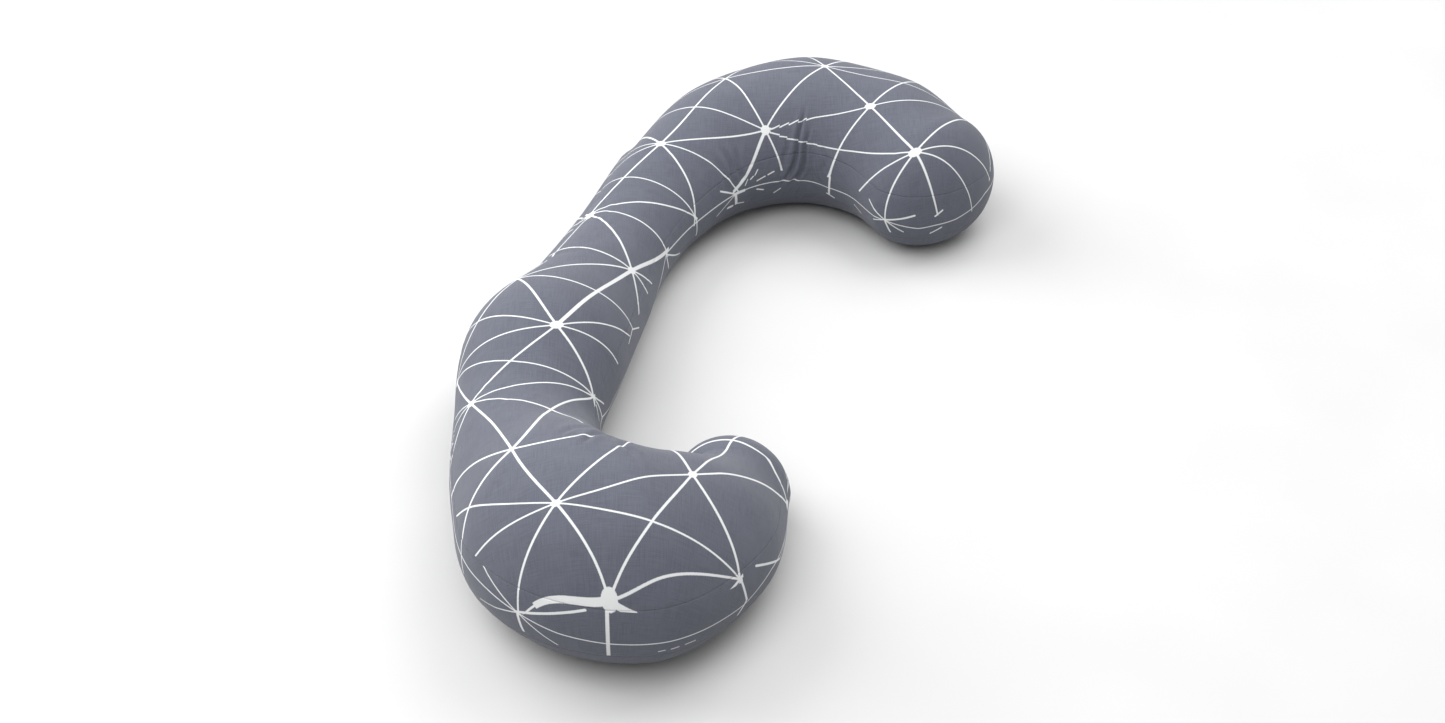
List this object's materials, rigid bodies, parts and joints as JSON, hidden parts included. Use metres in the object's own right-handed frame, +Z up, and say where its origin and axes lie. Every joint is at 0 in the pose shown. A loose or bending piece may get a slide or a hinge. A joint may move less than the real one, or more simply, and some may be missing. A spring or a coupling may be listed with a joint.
{
  "type": "nursing pillow",
  "caption": "Long C-shaped nursing and body pillow: a zipped printed fabric cover over an inner casing with loose light filling.",
  "frame": {"origin": "middle of the pillow's plan, on the surface it lies on", "axes": "+Y along the pillow's long direction, towards the arch and head; +X towards the C's open side; +Z up"},
  "size_m": [0.7557, 1.2541, 0.2324],
  "materials": {
    "cover_fabric": "woven slate melange with a white printed line lattice",
    "zip_tape": "woven polyester tape",
    "zip_coil": "nylon coil",
    "zip_metal": "plain zinc alloy",
    "label": "blank satin ribbon",
    "casing": "plain white cotton",
    "filling": "loose light filling"
  },
  "bodies": {
    "pillow": {"cover_top_panel": "cover_fabric", "cover_side_band": "cover_fabric", "cover_bottom_panel": "cover_fabric", "zip_tape_upper": "zip_tape", "zip_tape_lower": "zip_tape", "zip_coil_upper": "zip_coil", "zip_coil_lower": "zip_coil", "zip_top_stop_upper": "zip_metal", "zip_top_stop_lower": "zip_metal", "zip_bottom_stop": "zip_metal", "care_label": "label", "inner_casing_top": "casing", "inner_casing_bottom": "casing", "filling": "filling"},
    "slider": {"zip_slider": "zip_metal"},
    "pull_tab": {"zip_pull_tab": "zip_metal"}
  },
  "joints": [
    {"name": "slider_travel", "type": "slide", "parent": "pillow", "child": "slider", "axis": [0.3344, 0.9424, 0], "range_m": [0, 0.28]},
    {"name": "pull_tab_swing", "type": "hinge", "parent": "slider", "child": "pull_tab", "pos_m": [-0.29031, 0.12218, 0.06], "axis": [0, 0, 1], "range_deg": [0, 170]}
  ]
}
